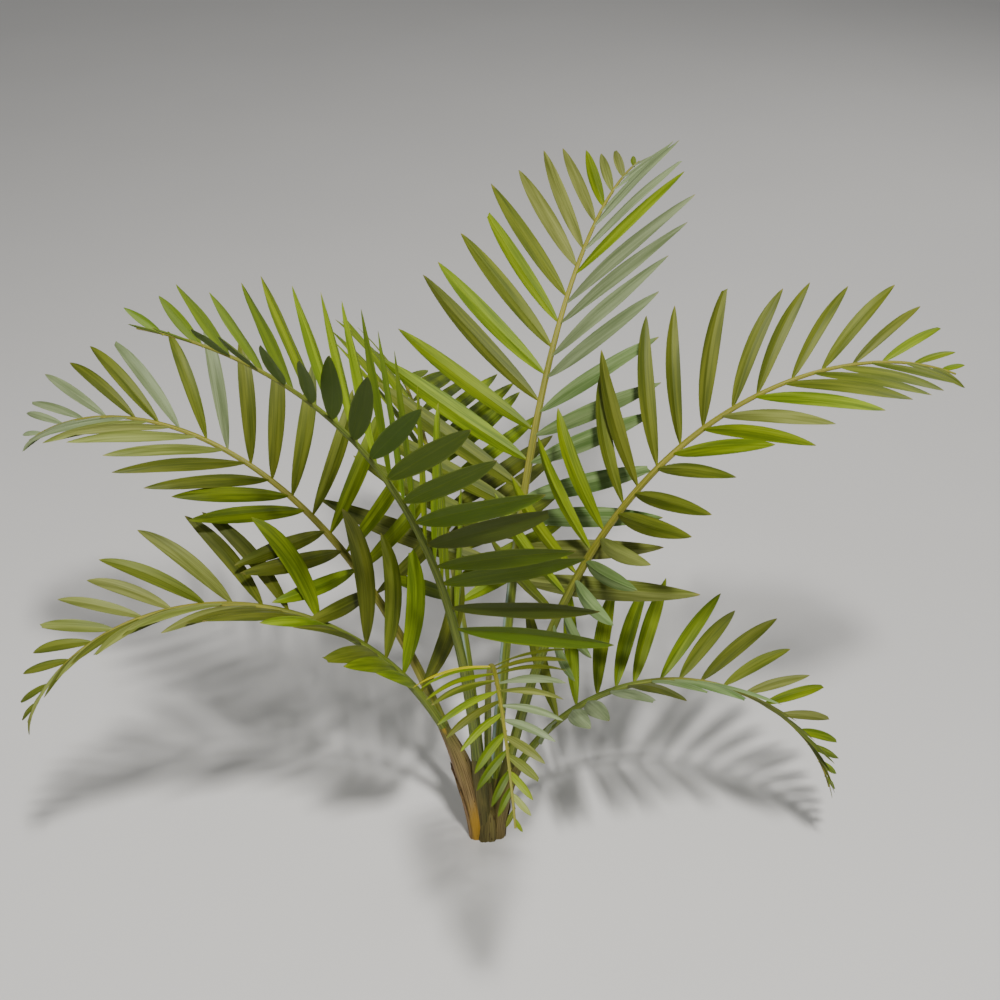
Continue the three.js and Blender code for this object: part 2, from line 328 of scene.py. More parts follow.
@lru_cache(None)
def ring_faces(rings, around):
    """Faces of a closed skin of so many rings with so many corners each."""
    faces = [tuple(reversed(range(around)))]
    for i in range(rings - 1):
        for j in range(around):
            k = (j + 1) % around
            faces.append((i * around + j, i * around + k,
                          (i + 1) * around + k, (i + 1) * around + j))
    last = (rings - 1) * around
    faces.append(tuple(range(last, last + around)))
    return faces


def skin_tree(corners, faces):
    """A search tree over a skin's faces, to find out what meets what."""
    return BVHTree.FromPolygons(corners.reshape(-1, 3).tolist(), faces)


# %% Growth
class Growth:
    """Skins gathered into one mesh, with what is known at each corner."""

    def __init__(self):
        self.corners = []
        self.faces = []
        self.finishes = []
        self.known = defaultdict(list)

    def add(self, rings, finish=0, **known):
        """Adds a skin from rings of corners, an array of rings by corners by 3."""
        count = sum(len(corners) for corners in self.corners)
        faces = ring_faces(*rings.shape[:2])
        self.corners.append(rings.reshape(-1, 3))
        self.faces += [tuple(corner + count for corner in face) for face in faces]
        self.finishes += [finish] * len(faces)
        for name, values in known.items():
            shape = rings.shape if name == "grain" else rings.shape[:2]
            values = np.broadcast_to(values, shape)
            self.known[name].append(values.reshape(-1, *shape[2:]))

    def tree(self):
        """The search tree of all the skins so far."""
        return skin_tree(np.vstack(self.corners), self.faces)

    def piece(self, name, slot, finishes, nodes=()):
        """The mesh object, riding on the palm and standing for the nodes."""
        mesh = bpy.data.meshes.new(name)
        mesh.from_pydata(np.vstack(self.corners).tolist(), [], self.faces)
        mesh.shade_smooth()
        mesh.set_sharp_from_angle(angle=math.radians(CREASE))
        for finish in finishes:
            mesh.materials.append(finish)
        mesh.polygons.foreach_set("material_index", self.finishes)
        for key, rows in self.known.items():
            values = np.concatenate(rows).astype(np.float32)
            vector = values.ndim == 2
            attribute = mesh.attributes.new(key, "FLOAT_VECTOR" if vector else "FLOAT", "POINT")
            attribute.data.foreach_set("vector" if vector else "value", values.ravel())
        made = bpy.data.objects.new(name, mesh)
        bpy.context.collection.objects.link(made)
        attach(made, "root")
        if nodes:
            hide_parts(*nodes)
        print(f"{name}: {len(self.faces)} faces")
        return made


# %% [markdown]
# ## Finishes as sums
# A finish is a net of shader nodes, which could be made and linked one by one. To read like a
# recipe, a socket is wrapped so that plus, minus and times add their own Math nodes, and every
# other node comes from one method. Colours are laid over one another, as a painter glazes.


# %% A socket in sums
class Wire:
    """An output socket that can be used in sums."""

    def __init__(self, finish, socket):
        self.finish = finish
        self.socket = socket

    def sum(self, operation, first, second):
        return self.finish.node("Math", {"operation": operation}, {0: first, 1: second})

    def __add__(self, other):
        return self.sum("ADD", self, other)

    def __radd__(self, other):
        return self.sum("ADD", other, self)

    def __sub__(self, other):
        return self.sum("SUBTRACT", self, other)

    def __rsub__(self, other):
        return self.sum("SUBTRACT", other, self)

    def __mul__(self, other):
        return self.sum("MULTIPLY", self, other)

    def __rmul__(self, other):
        return self.sum("MULTIPLY", other, self)

    def __abs__(self):
        return self.sum("ABSOLUTE", self, 0)

    def band(self, low, high):
        """Rises smoothly from 0 at low to 1 at high."""
        return self.finish.node(
            "MapRange", {"interpolation_type": "SMOOTHSTEP"},
            {"Value": self, "From Min": low, "From Max": high})


# %% Paint and finish
def paint(red, green, blue):
    """A colour as the eye names it, from 0 to 255, as a shader takes it: linear, by sRGB's curve."""
    shares = [value / 255 for value in (red, green, blue)]
    return (*[s / 12.92 if s <= 0.04045 else ((s + 0.055) / 1.055) ** 2.4 for s in shares], 1)


class Finish:
    """A material, with a Principled shader to feed."""

    def __init__(self, name, **constants):
        self.material = bpy.data.materials.new(name)
        self.material.use_nodes = True
        self.tree = self.material.node_tree
        self.shader = self.tree.nodes["Principled BSDF"]
        for socket, value in constants.items():
            self.shader.inputs[socket.replace("_", " ")].default_value = value
        print("finish:", name)

    def feed(self, socket, value):
        """Links a wire to a socket, or sets the socket to a plain value."""
        if isinstance(value, Wire):
            self.tree.links.new(value.socket, socket)
        else:
            socket.default_value = value

    def node(self, kind, settings, inputs, output=0):
        """Adds a node of a kind: settings first, then values or wires for its sockets."""
        node = self.tree.nodes.new("ShaderNode" + kind)
        for name, value in settings.items():
            setattr(node, name, value)
        for name, value in inputs.items():
            self.feed(node.inputs[name], value)
        return Wire(self, node.outputs[output])

    def known(self, name, vector=False):
        """What the mesh knows at each corner under this name."""
        output = "Vector" if vector else "Fac"
        return self.node("Attribute", {"attribute_name": name}, {}, output)

    def streaks(self, stretch, detail=3):
        """Noise over the grain, stretched differently along and across it."""
        place = self.node("VectorMath", {"operation": "MULTIPLY"},
                          {0: self.known("grain", vector=True), 1: stretch})
        return self.node("TexNoise", {}, {"Vector": place, "Scale": 1, "Detail": detail})

    def mix(self, share, first, second):
        """Goes from the first colour to the second by a share."""
        return self.node("Mix", {"data_type": "RGBA"}, {0: share, 6: first, 7: second}, 2)

    def layered(self, colour, *layers):
        """Lays colours over a first one: where each goes, how much of it, and the colour."""
        for where, amount, over in layers:
            colour = self.mix(amount * where, colour, over)
        return colour

    def relief(self, height, distance):
        """Feeds a height in shares of a distance into the shader's normal."""
        bump = self.node("Bump", {}, {"Height": height, "Distance": distance, "Strength": 1})
        self.feed(self.shader.inputs["Normal"], bump)

    def colour(self, value):
        self.feed(self.shader.inputs["Base Color"], value)

    def roughness(self, value):
        self.feed(self.shader.inputs["Roughness"], value)


# %% [markdown]
# ## Leaf finish
# A palm leaflet is a thin blade with fine veins along it. Its colour wanders in soft streaks
# from the root to the tip, the raised middle vein is paler, tips dry to ochre, and the underside
# is duller than the top. A picture of a leaf would repeat from blade to blade, so noise that is
# stretched along the grain draws the streaks. The same recipe makes every leaf colour, and each
# leaflet gets its own tone so that neighbours differ.

# %% Leaf
LEAF_COLOURS = {
    # name: upper side, lighter streaks, underside
    "lime": (paint(78, 97, 4), paint(128, 145, 17), paint(74, 95, 4)),
    "olive": (paint(66, 76, 10), paint(106, 112, 30), paint(64, 78, 10)),
    "cream": (paint(90, 98, 33), paint(137, 143, 73), paint(85, 96, 30)),
    # The next colour is painted sheen: a pale grey-green that stands in for light glancing off the leaf
    # tops.
    "mint": (paint(86, 111, 54), paint(138, 157, 101), paint(82, 105, 47)),
    # The next colour is partly the leaf's own silvery grey and partly painted sheen.
    "silver": (paint(94, 107, 68), paint(138, 150, 108), paint(87, 100, 59)),
    # The next colour is painted shade: a darker green given to leaflets that stand in shade.
    "deep": (paint(66, 86, 4), paint(100, 119, 15), paint(62, 84, 4)),
    "gold": (paint(150, 146, 4), paint(204, 184, 10), paint(130, 126, 6)),
}
NECK_COLOUR = paint(150, 148, 44)
DRY_TIP_COLOUR = paint(156, 134, 66)
# How noise is stretched along a leaflet, across it, and from one leaflet to the next.
SOFT_STREAKS = (5, 90, 1)
LEAF_LINES = (7, 420, 1)
LEAF_FIBRES = (10, 1200, 1)
TIP_FRINGE = (60, 400, 1)
FRINGE_DEPTH = 0.16
MIDDLE_VEIN_EDGES = (0.0003, 0.0011)
NECK_REACH = 0.07
# Radians for each metre across the blade: fine veins 1.2 mm apart.
VEIN_RADIANS = 5200
VEIN_RELIEF = 0.3
LEAF_RELIEF = 0.00012
# Hue and value that a leaflet's tone shifts its colour by, from the lowest tone to the highest.
TONE_HUES = (0.494, 0.506)
TONE_VALUES = (0.85, 1.13)


def leaf_finish(name, upper, streak, under):
    """One leaf colour with its streaks, veins, middle vein, dry tip and underside."""
    leaf = Finish("leaf " + name, Specular_IOR_Level=0.22)
    reach = leaf.known("reach")
    tone = leaf.known("tone")
    across = abs(leaf.known("across"))
    underneath = 1 - leaf.known("upper")
    soft = leaf.streaks(SOFT_STREAKS, detail=2).band(0.32, 0.7)
    lines = leaf.streaks(LEAF_LINES, detail=2)
    fibres = leaf.streaks(LEAF_FIBRES, detail=2)
    pale_fibres = fibres.band(0.5, 0.8)
    ragged_reach = reach + FRINGE_DEPTH * (leaf.streaks(TIP_FRINGE) - 0.5)
    above = leaf.layered(
        upper,
        (soft, 0.8, streak),
        (lines.band(0.48, 0.66), 0.4, streak),
        (1 - lines.band(0.34, 0.5), 0.5, upper),
        (pale_fibres, 0.18, streak))
    below = leaf.layered(
        under,
        (1 - soft, 0.4, upper),
        (pale_fibres, 0.4, streak))
    colour = leaf.layered(
        leaf.mix(underneath, above, below),
        (1 - across.band(*MIDDLE_VEIN_EDGES), 0.15, streak),
        (1 - reach.band(0, NECK_REACH), 0.5, NECK_COLOUR),
        (ragged_reach.band(0.96, 1.03), 0.6, DRY_TIP_COLOUR))
    leaf.colour(leaf.node("HueSaturation", {}, {
        "Hue": between(TONE_HUES, tone), "Value": between(TONE_VALUES, tone), "Color": colour}))
    leaf.roughness(between((0.46, 0.6), fibres) + 0.1 * underneath)
    veins = leaf.node("Math", {"operation": "SINE"}, {0: VEIN_RADIANS * across})
    leaf.relief(VEIN_RELIEF * veins + fibres, LEAF_RELIEF)
    return leaf.material


leaf_names = list(LEAF_COLOURS)
leaf_finishes = [leaf_finish(name, *LEAF_COLOURS[name]) for name in leaf_names]

# %% [markdown]
# ## Stalk finish
# The stalk is green with brown mottles near the foot, and two of them carry a painted highlight
# along one side: a blue-grey strip broken into waxy patches. Towards the tip the rib turns golden
# olive. Each stalk could have a finish of its own, but one serves for all, because the meshes say
# where the painted highlight and gold lie. The grain here runs round the stalk in its first two
# values and along it in the third, so no seam shows.

# %% Stalk
GREEN_STALK = (paint(70, 86, 16), paint(108, 120, 34))
GOLDEN_RIB = (paint(106, 107, 24), paint(146, 138, 46))
# The blue-grey of a painted highlight along one side of two stalks, laid on in waxy patches.
WAX_HIGHLIGHT_COLOUR = paint(138, 158, 152)
MOTTLE_COLOUR = paint(98, 76, 40)
# How noise is stretched round the stalk, twice, and along it.
STALK_STREAKS = (4, 4, 9)
STALK_FIBRES = (30, 30, 12)
HIGHLIGHT_PATCHES = (1.5, 1.5, 14)
MOTTLES = (2.4, 2.4, 60)
STALK_RELIEF = 0.0004


def stalk_finish():
    """Green below and golden olive above, with mottles near the foot and a strip of painted highlight
    in waxy patches.
    """
    stalk = Finish("stalk", IOR=1.42)
    reach = stalk.known("reach")
    streaks = stalk.streaks(STALK_STREAKS).band(0.35, 0.65)
    fibres = stalk.streaks(STALK_FIBRES, detail=2)
    green = stalk.mix(streaks, *GREEN_STALK)
    golden = stalk.mix(streaks, *GOLDEN_RIB)
    # Painted highlight: the blue-grey strip on one side of the two stalks, broken into patches.
    wax_highlight = stalk.known("bloom") * stalk.streaks(HIGHLIGHT_PATCHES).band(0.3, 0.5)
    mottle = stalk.streaks(MOTTLES).band(0.58, 0.68)
    stalk.colour(stalk.layered(
        stalk.mix(stalk.known("golden"), green, golden),
        (wax_highlight * (1 - reach.band(0.3, 0.5)), 0.85, WAX_HIGHLIGHT_COLOUR),
        (mottle * (1 - reach.band(0.05, 0.45)), 0.75, MOTTLE_COLOUR)))
    stalk.roughness(between((0.42, 0.62), fibres))
    stalk.relief(fibres, STALK_RELIEF)
    return stalk.material


stalk_skin = stalk_finish()

# %% [markdown]
# ## Sheath and husk finishes
# A living sheath is green-brown and fibrous. The outermost one has dried to tan, with a
# pink-brown margin on its outer side, yellow-orange splits low down and at its top, and dark
# scars. Thin husks of the same stuff cling to some of the sheaths. Living and dry could be two
# finishes, but a sheath is dry below and green above, so one finish goes from one to the other
# by what the mesh says.

# %% Sheath finish
LIVING_SHEATH = (paint(52, 56, 17), paint(86, 88, 32))
DRY_SHEATH = (paint(102, 80, 46), paint(166, 140, 90))
STRAW_COLOUR = paint(130, 118, 58)
MARGIN_COLOUR = paint(158, 122, 100)
SPLIT_COLOUR = paint(190, 146, 34)
SCAR_COLOUR = paint(58, 34, 18)
# How noise is stretched round the sheath, twice, and along it.
SHEATH_FIBRES = (14, 14, 12)
SHEATH_BANDS = (2.2, 2.2, 16)
SHEATH_SCARS = (2.6, 2.6, 34)
THREAD_EDGES = (0.36, 0.64)
SCAR_EDGES = (0.64, 0.7)
BAND_RELIEF = 0.6
SHEATH_RELIEF = 0.0012


def sheath_finish():
    """A living sheath that turns to a dry one by what its mesh knows as dry."""
    sheath = Finish("sheath", Specular_IOR_Level=0.3)
    fibres = sheath.streaks(SHEATH_FIBRES, detail=4)
    bands = sheath.streaks(SHEATH_BANDS)
    threads = fibres.band(*THREAD_EDGES)
    living = sheath.mix(threads, *LIVING_SHEATH)
    dried = sheath.mix(threads, *DRY_SHEATH)
    split = sheath.known("split") + 0.7 * (bands - 0.5) + 0.3 * (fibres - 0.5)
    scar = sheath.streaks(SHEATH_SCARS, detail=2).band(*SCAR_EDGES)
    sheath.colour(sheath.layered(
        sheath.mix(sheath.known("dry"), living, dried),
        (bands.band(0.52, 0.72), 0.6, STRAW_COLOUR),
        (sheath.known("margin"), between((0.5, 1), threads), MARGIN_COLOUR),
        (split.band(0.25, 0.85), 0.85, SPLIT_COLOUR),
        (scar, 0.85, SCAR_COLOUR)))
    sheath.roughness(between((0.62, 0.87), fibres))
    sheath.relief(fibres + BAND_RELIEF * bands, SHEATH_RELIEF)
    return sheath.material


sheath_skin = sheath_finish()

# %% Husk finish
LIVING_HUSK = (paint(44, 44, 18), paint(80, 76, 34))
DRY_HUSK = (paint(104, 80, 48), paint(160, 132, 86))
BAND_COLOUR = paint(162, 128, 106)
HUSK_FIBRES = (16, 16, 14)
HUSK_BANDS = (2, 2, 20)
HUSK_SCARS = (3.2, 3.2, 40)
HUSK_RELIEF = 0.001


def husk_finish():
    """A husk: tan fibres with pink-brown bands where it is dry, green-brown where it is not."""
    husk = Finish("husk", Specular_IOR_Level=0.2)
    fibres = husk.streaks(HUSK_FIBRES, detail=4)
    bands = husk.streaks(HUSK_BANDS)
    threads = fibres.band(*THREAD_EDGES)
    living = husk.mix(threads, *LIVING_HUSK)
    dried = husk.layered(
        husk.mix(threads, *DRY_HUSK),
        (bands.band(0.45, 0.7), 0.8, BAND_COLOUR))
    scar = husk.streaks(HUSK_SCARS, detail=2).band(*SCAR_EDGES)
    husk.colour(husk.layered(
        husk.mix(husk.known("dry"), living, dried),
        (scar, 0.85, SCAR_COLOUR)))
    husk.roughness(between((0.7, 0.9), fibres))
    husk.relief(fibres + BAND_RELIEF * bands, HUSK_RELIEF)
    return husk.material


husk_skin = husk_finish()

# %% [markdown]
# ## The stem
# Eight sheaths rise from a squat knob of a foot. Each is a tube along its own rib, level where
# it meets the ground. Near the ground it is wide and flat, as a leaf base clasps the ones inside
# it, and has a raised margin on each side of its inner face. It thins to the stalk's own size at
# its top, with fibres as fine ridges. The stem could be sculpted as one lump, but separate skins
# keep the deep creases between the leaf bases.

# %% Rings along a rib
RIB_TIP_RADIUS = 0.0018
SHEATH_RADIUS = 0.015
SHEATH_OVER = 0.0003
FLATTENING = 0.1
LEVEL_RUN = 0.07


def stalk_radius(frond, s):
    """The radius of a stalk at a share of the frond's length."""
    return frond.stalk + (RIB_TIP_RADIUS - frond.stalk) * s


def sheath_radius(rib, share):
    """The radius of a sheath at a share of its own length."""
    top = stalk_radius(rib.frond, rib.sheath / rib.frond.length) + SHEATH_OVER
    return SHEATH_RADIUS * (1 - share) + top * share + rib.frond.swell * np.sin(math.pi * share)


def flattened(angles, fade):
    """How a leaf base widens to both sides, as a factor on its radius."""
    return 1 + FLATTENING * fade * np.cos(2 * angles)


def frames_along(rib, s):
    """Ring frames along a rib, level at the ground: points, left and up directions."""
    point, along, left, up = rib.at(s)
    level_up = np.cross(UP, left)
    share = smooth_step(s * rib.frond.length, run=LEVEL_RUN)[:, None]
    return point, left, unit(level_up * (1 - share) + up * share)


def ring_angles(around):
    """Angles round a limb, with a quarter turn at its upper side."""
    return np.linspace(-math.pi / 2, 3 * math.pi / 2, around, endpoint=False)


def ring_skin(point, left, up, angles, radius):
    """Rings of corners: radius is an array of rings by corners, angles run round each ring."""
    turns = angles[None, :, None]
    spoke = left[:, None] * np.cos(turns) + up[:, None] * np.sin(turns)
    return point[:, None] + spoke * radius[..., None]


def round_grain(angles, lengths, offset):
    """Grain round and along a limb: two values round it and the length along it."""
    grain = np.zeros((len(lengths), len(angles), 3))
    grain[..., 0] = np.cos(angles) + offset
    grain[..., 1] = np.sin(angles)
    grain[..., 2] = lengths
    return grain


# %% Foot
# Radius and level, from the ground up.
FOOT_OUTLINE = [(0.027, 0), (0.0265, 0.012), (0.026, 0.028), (0.0235, 0.045), (0.020, 0.062),
                (0.011, 0.074), (0.001, 0.078)]
FOOT_AROUND = 96
FOOT_RINGS = 25
FOOT_LUMPS = [(7, 0.05, 1), (19, 0.02, 0), (37, 0.012, 0)]
FOOT_DRYNESS = 0.3


def add_foot(stem):
    """The squat knob that the sheaths rise from."""
    heights = np.linspace(0, 1, FOOT_RINGS)
    shares = np.linspace(0, 1, len(FOOT_OUTLINE))
    radii, levels = [np.interp(heights, shares, row)[:, None] for row in zip(*FOOT_OUTLINE)]
    angles = np.linspace(0, 2 * math.pi, FOOT_AROUND, endpoint=False)
    radius = radii * (1 + ripples(angles, FOOT_LUMPS, 1))
    rings = np.zeros((*radius.shape, 3))
    rings[..., 0] = radius * np.cos(angles)
    rings[..., 1] = radius * np.sin(angles)
    rings[..., 2] = levels
    stem.add(rings, grain=round_grain(angles, levels, 0), dry=FOOT_DRYNESS, split=0, margin=0)


stem = Growth()
add_foot(stem)
print("faces of the foot:", len(stem.faces))

# %% Sheaths and stem
SHEATH_AROUND = 56
SHEATH_RINGS = 46
CHANNEL_DEPTH = 0.12
CHANNEL_WIDTH = 0.5
MARGIN_TURNS = (42, 138)
MARGIN_WIDTH = 0.12
MARGIN_HEIGHT = 0.002
PINK_SHIFT = 0.2
FIBRE_RIDGES = [(23, 0.012, 6), (41, 0.006, 0)]
# Splits: the turn round the sheath, the level, the run along it and the strength.
SPLITS = [(20, 0.03, 0.09, 1), (20, 0.3, 0.02, 0.6)]
SPLIT_WIDTH = 0.7
DRYNESS = {"frond_left_low": 1, "frond_right_low": 0.5, "frond_left_high": 0.6}
USUAL_DRYNESS = 0.15
SHEATH_GRAIN_STEP = 3


def add_sheath(stem, rib, offset):
    """One leaf base, with its margins, channel, fibres and splits."""
    share = np.linspace(0, 1, SHEATH_RINGS)[:, None]
    s = share[:, 0] * rib.sheath / rib.frond.length
    lengths = (s * rib.frond.length)[:, None]
    fade = 1 - share
    angles = ring_angles(SHEATH_AROUND)
    channel = CHANNEL_DEPTH * hump(angles, math.pi / 2, CHANNEL_WIDTH)
    margins = sum(hump(angles, math.radians(turn), MARGIN_WIDTH) for turn in MARGIN_TURNS)
    fibres = ripples(angles, FIBRE_RIDGES, offset)
    profile = flattened(angles, fade) - channel * fade + fibres * fade**0.5
    radius = sheath_radius(rib, share) * profile + MARGIN_HEIGHT * margins * fade
    split = sum(
        strength * hump(angles, math.radians(turn), SPLIT_WIDTH) * hump(lengths, level, run)
        for turn, level, run, strength in SPLITS)
    dry = DRYNESS.get(rib.frond.name, USUAL_DRYNESS)
    stem.add(
        ring_skin(*frames_along(rib, s), angles, radius),
        grain=round_grain(angles, lengths, offset),
        dry=dry * (1 - share**3),
        split=dry * split,
        margin=dry * np.clip(-np.sin(angles - PINK_SHIFT), 0, 1) ** 3)


for number, rib in enumerate(ribs):
    add_sheath(stem, rib, SHEATH_GRAIN_STEP * number)
stem.piece("palm_stem", "sheath", [sheath_skin], ["stem"])
stem_tree = stem.tree()

# %% [markdown]
# ## Husks
# As sheaths age, a thin skin splits off their outer side. Each husk is such a skin, a hair clear
# of its sheath, with a ragged top that curls away. It could be cut from the sheath's own mesh and
# thickened, but as a shell of its own it can be worn and curled freely. Its rings run across the
# outside from edge to edge and back across the inside.
#
# A row names the frond whose sheath is wrapped, the turn of the husk's middle, half the arc that
# it covers, its height, how far its outside stands off, how ragged its top is and how dry it is.

# %% Husks
Husk = namedtuple("Husk", "frond wraps half_arc height gap ragged dry")
HUSKS = [
    Husk("frond_left_low", -78, 62, 0.215, 0.0012, 0.25, 1),
    Husk("frond_left_high", -40, 60, 0.170, 0.0012, 0.3, 0.7),
    Husk("frond_right_low", -80, 70, 0.085, 0.0012, 0.35, 0.2),
    Husk("frond_back_tall", -95, 80, 0.120, 0.0014, 0.3, 0.2),
    Husk("frond_right_high", -90, 80, 0.110, 0.0014, 0.3, 0.3),
]
HUSK_ACROSS = 36
HUSK_RINGS = 40
HUSK_THICKNESS = 0.0009
HUSK_CURL = 0.0025
HUSK_WAVES = [(15, 0.0006, 1)]
HUSK_RIDGES = [(60, 0.0004, 0)]
HUSK_SIDE_DROP = 0.35
TEETH = 5
TOOTH_FADE = 0.7
TOOTH_WIDEST = 5
TOOTH_STEP = 6
TOOTH_SHIFT = 6
MEAN_WEAR = 0.5
TOOTH_WEAR = 0.25
HUSK_GRAIN_START = 40
HUSK_GRAIN_STEP = 3


def ragged_tops(husk, arc, draws):
    """How high a husk reaches at each place across it: worn to teeth, and lower at its sides."""
    teeth = sum(
        TOOTH_FADE**k
        * np.cos((TOOTH_WIDEST + TOOTH_STEP * k) * arc + draws.uniform(0, TOOTH_SHIFT))
        for k in range(TEETH))
    sides = HUSK_SIDE_DROP * np.abs(arc / arc[0]) ** 3
    return husk.height * (1 - husk.ragged * (MEAN_WEAR + TOOTH_WEAR * teeth) - sides)


def add_husk(husks, husk, offset):
    """One thin shell round a sheath."""
    rib = next(rib for rib in ribs if rib.frond.name == husk.frond)
    half = math.radians(husk.half_arc)
    arc = np.linspace(-half, half, HUSK_ACROSS)
    angles = arc + math.radians(husk.wraps)
    share = np.linspace(0, 1, HUSK_RINGS)[:, None]
    s = share * ragged_tops(husk, arc, random.Random(offset)) / rib.frond.length
    lengths = s * rib.frond.length
    climbed = np.clip(lengths / rib.sheath, 0, 1)
    curl = HUSK_CURL * share**6 + ripples(arc, HUSK_WAVES, offset) * share
    outer = (sheath_radius(rib, climbed) * flattened(angles, 1 - climbed)
             + husk.gap + curl + ripples(arc, HUSK_RIDGES))
    point, left, up = frames_along(rib, s.ravel())
    turns = np.tile(angles, HUSK_RINGS)[:, None]
    spoke = left * np.cos(turns) + up * np.sin(turns)
    outside, inside = [
        (point + spoke * radius.reshape(-1, 1)).reshape(HUSK_RINGS, HUSK_ACROSS, 3)
        for radius in (outer, outer - HUSK_THICKNESS)]
    there_and_back = np.concatenate([angles, angles[::-1]])
    husks.add(
        np.concatenate([outside, inside[:, ::-1]], axis=1),
        grain=round_grain(
            there_and_back, np.concatenate([lengths, lengths[:, ::-1]], axis=1), offset),
        dry=husk.dry)


husks = Growth()
for number, husk in enumerate(HUSKS):
    add_husk(husks, husk, HUSK_GRAIN_START + HUSK_GRAIN_STEP * number)
husks.piece("dry_husks", "sheath", [husk_skin])

# %% [markdown]
# ## Stalks and ribs
# The stalk is round below and has a shallow channel along its upper side. It starts inside its
# sheath and thins steadily to the tip of the frond. A curve with a taper would do for a plain
# round stalk, but rings carry the channel and a slight unevenness too.

# %% Stalks
STALK_AROUND = 24
STALK_STEP = 0.012
SHEATH_OVERLAP = 0.02
# How deep the channel is at the ground, and from the first leaflets on.
CHANNEL_DEPTHS = (0.26, 0.1)
STALK_CHANNEL_WIDTH = 0.55
UNEVENNESS = 0.03
UNEVEN_WAVES = (40, 13)
# Stalks that carry a painted highlight along one side, the turn round the stalk where it lies, and how
# it fades towards its edges.
HIGHLIGHTED_STALKS = ("frond_back_tall", "frond_back_left")
HIGHLIGHT_TURN = math.radians(15)
HIGHLIGHT_EDGE = 0.45
HIGHLIGHT_RUN = 0.3
GOLDEN_FROM = {"frond_left_tall": 0.75, "frond_right_low": 0.45, "frond_left_low": 0.45,
               "frond_left_high": 0.1}
USUAL_GOLDEN_FROM = 0.3
GOLDEN_RUN = 0.25
STALK_GRAIN_STEP = 5


def nodes_of(rib):
    """The frame's nodes for one frond: one, or two lengths of it."""
    return [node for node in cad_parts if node.startswith(rib.frond.name)]


def add_stalk(growth, rib, offset):
    """A stalk and the rib that it runs on as, from inside the sheath to the tip."""
    length = rib.frond.length
    start = (rib.sheath - SHEATH_OVERLAP) / length
    s = np.linspace(start, 1, int(length * (1 - start) / STALK_STEP))
    share = s[:, None]
    angles = ring_angles(STALK_AROUND)
    depth = between(CHANNEL_DEPTHS, smooth_step(share, run=rib.frond.bare))
    channel = depth * hump(angles, math.pi / 2, STALK_CHANNEL_WIDTH)
    long_wave, short_wave = UNEVEN_WAVES
    swell = 1 + UNEVENNESS * np.sin(long_wave * share + offset) * np.cos(short_wave * share)
    radius = stalk_radius(rib.frond, share) * (1 - channel) * swell
    # The painted highlight lies along one side of the stalk.
    wax_highlight = smooth_step(np.cos(angles - HIGHLIGHT_TURN), HIGHLIGHT_EDGE, HIGHLIGHT_RUN)
    golden_from = GOLDEN_FROM.get(rib.frond.name, USUAL_GOLDEN_FROM)
    growth.add(
        ring_skin(*frames_along(rib, s), angles, radius),
        grain=round_grain(angles, share * length, offset),
        reach=share,
        bloom=wax_highlight * (rib.frond.name in HIGHLIGHTED_STALKS),
        golden=smooth_step(share, golden_from, GOLDEN_RUN))


stalk_trees = []
for number, rib in enumerate(ribs):
    stalk = Growth()
    add_stalk(stalk, rib, STALK_GRAIN_STEP * number)
    stalk.piece("stalk_of_" + rib.frond.name, "frond", [stalk_skin], nodes_of(rib))
    stalk_trees.append(stalk.tree())

# %% [markdown]
# ## Where the leaflets grow
# Leaflets could be strewn along the ribs by chance, but the solids already say where they stand.
# So this repeats the rule of the solids with the same draws: first the left side of each frond
# from the stalk outwards, then the right. The draws are a plain chain of whole numbers, so they
# come out the same everywhere. A leaflet's place is kept as u, its share of the blade, and as s,
# its share of the whole rib.

# %% Leaflet rule
# The angle at which leaflets open at the tip, the length that goes with a row's width, and the
# share of that width that is lost by the tip.
LEAFLET_CLOSED = 28
LEAFLET_REFERENCE = 0.33
LEAFLET_NARROWING = 0.25
# The share of the blade where leaflets have their row's length, and how much of it at the tip.
ROW_LENGTH_AT = 0.3
LENGTH_AT_TIP = 0.15
LEFT_OFFSET = 0.75
RIGHT_OFFSET = 0.5
RIB_TIP_RUN = 0.985
STRAY_PLACE = 0.15
STRAY_LENGTH = 0.07
STRAY_ANGLE = 4
STRAY_DROOP = 4
DRAW_SEED = 20261
DRAW_FACTOR = 16807
DRAW_MODULUS = 2**31 - 1

Leaflet = namedtuple("Leaflet", "side u s length width open lift droop")


def draws_from(seed):
    """Repeatable draws between -1 and 1."""
    while True:
        seed = seed * DRAW_FACTOR % DRAW_MODULUS
        yield 2 * seed / DRAW_MODULUS - 1


def length_share(frond, u):
    """How long a leaflet is at share u of the blade, as a share of its row's length."""
    if u < ROW_LENGTH_AT:
        return frond.first + (1 - frond.first) * math.sin(u / ROW_LENGTH_AT * math.pi / 2)
    fall = ((u - ROW_LENGTH_AT) / (1 - ROW_LENGTH_AT)) ** frond.fade
    return 1 + (LENGTH_AT_TIP - 1) * fall


def leaflets_of(frond, draws):
    """Every leaflet of a frond, by the rule."""
    leaflets = []
    for side, offset in ((1, LEFT_OFFSET), (-1, RIGHT_OFFSET)):
        for j in range(frond.pairs):
            u = (j + offset + STRAY_PLACE * next(draws)) / frond.pairs
            length = frond.leaflet * length_share(frond, u) * (1 + STRAY_LENGTH * next(draws))
            slimness = math.sqrt(length / LEAFLET_REFERENCE)
            leaflets.append(Leaflet(
                side=side, u=u, s=frond.bare + (1 - frond.bare) * u * RIB_TIP_RUN, length=length,
                width=frond.widest * slimness * (1 - LEAFLET_NARROWING * u**2),
                open=frond.open + (LEAFLET_CLOSED - frond.open) * u + STRAY_ANGLE * next(draws),
                lift=frond.lift + STRAY_ANGLE * next(draws),
                droop=frond.droop + STRAY_DROOP * next(draws)))
    return leaflets


